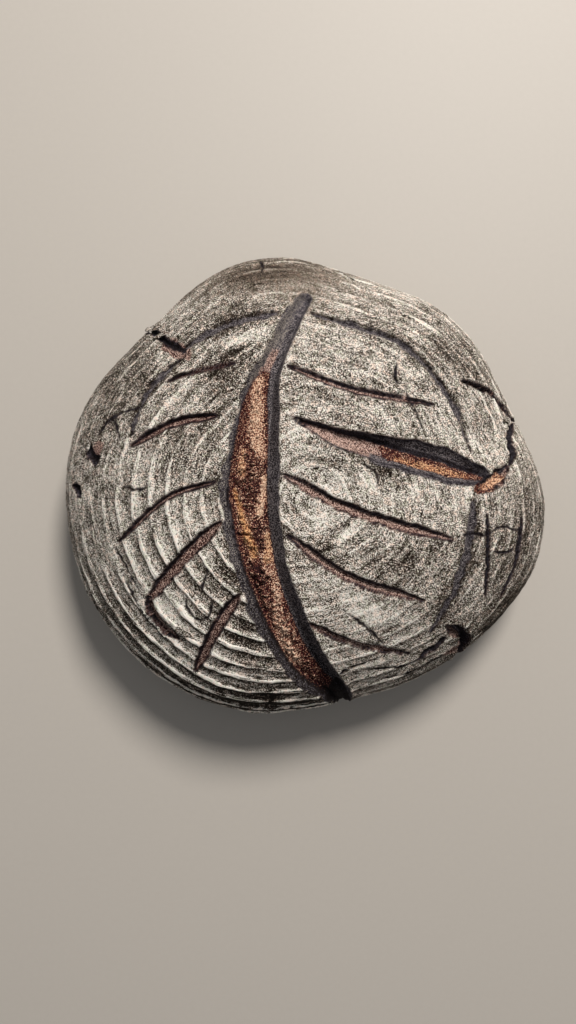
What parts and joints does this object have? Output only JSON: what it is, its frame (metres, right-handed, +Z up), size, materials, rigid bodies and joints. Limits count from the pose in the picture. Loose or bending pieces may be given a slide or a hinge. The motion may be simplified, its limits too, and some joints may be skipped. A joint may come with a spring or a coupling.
{
  "type": "rye bread loaf",
  "caption": "Round hearth loaf of rye bread with basket rings, a floury crust, and a scored leaf whose middle cut has burst wide open.",
  "frame": {"origin": "on the table, under the middle of the loaf's bounding box", "axes": "+Z up, +X to the right and +Y away from the viewer in the picture's top view, so the leaf's wide middle cut runs along Y with its tip at +Y"},
  "size_m": [0.2579, 0.2449, 0.0762],
  "materials": {
    "rye_crust": null
  },
  "bodies": {
    "root": {"loaf": "rye_crust"}
  },
  "joints": []
}
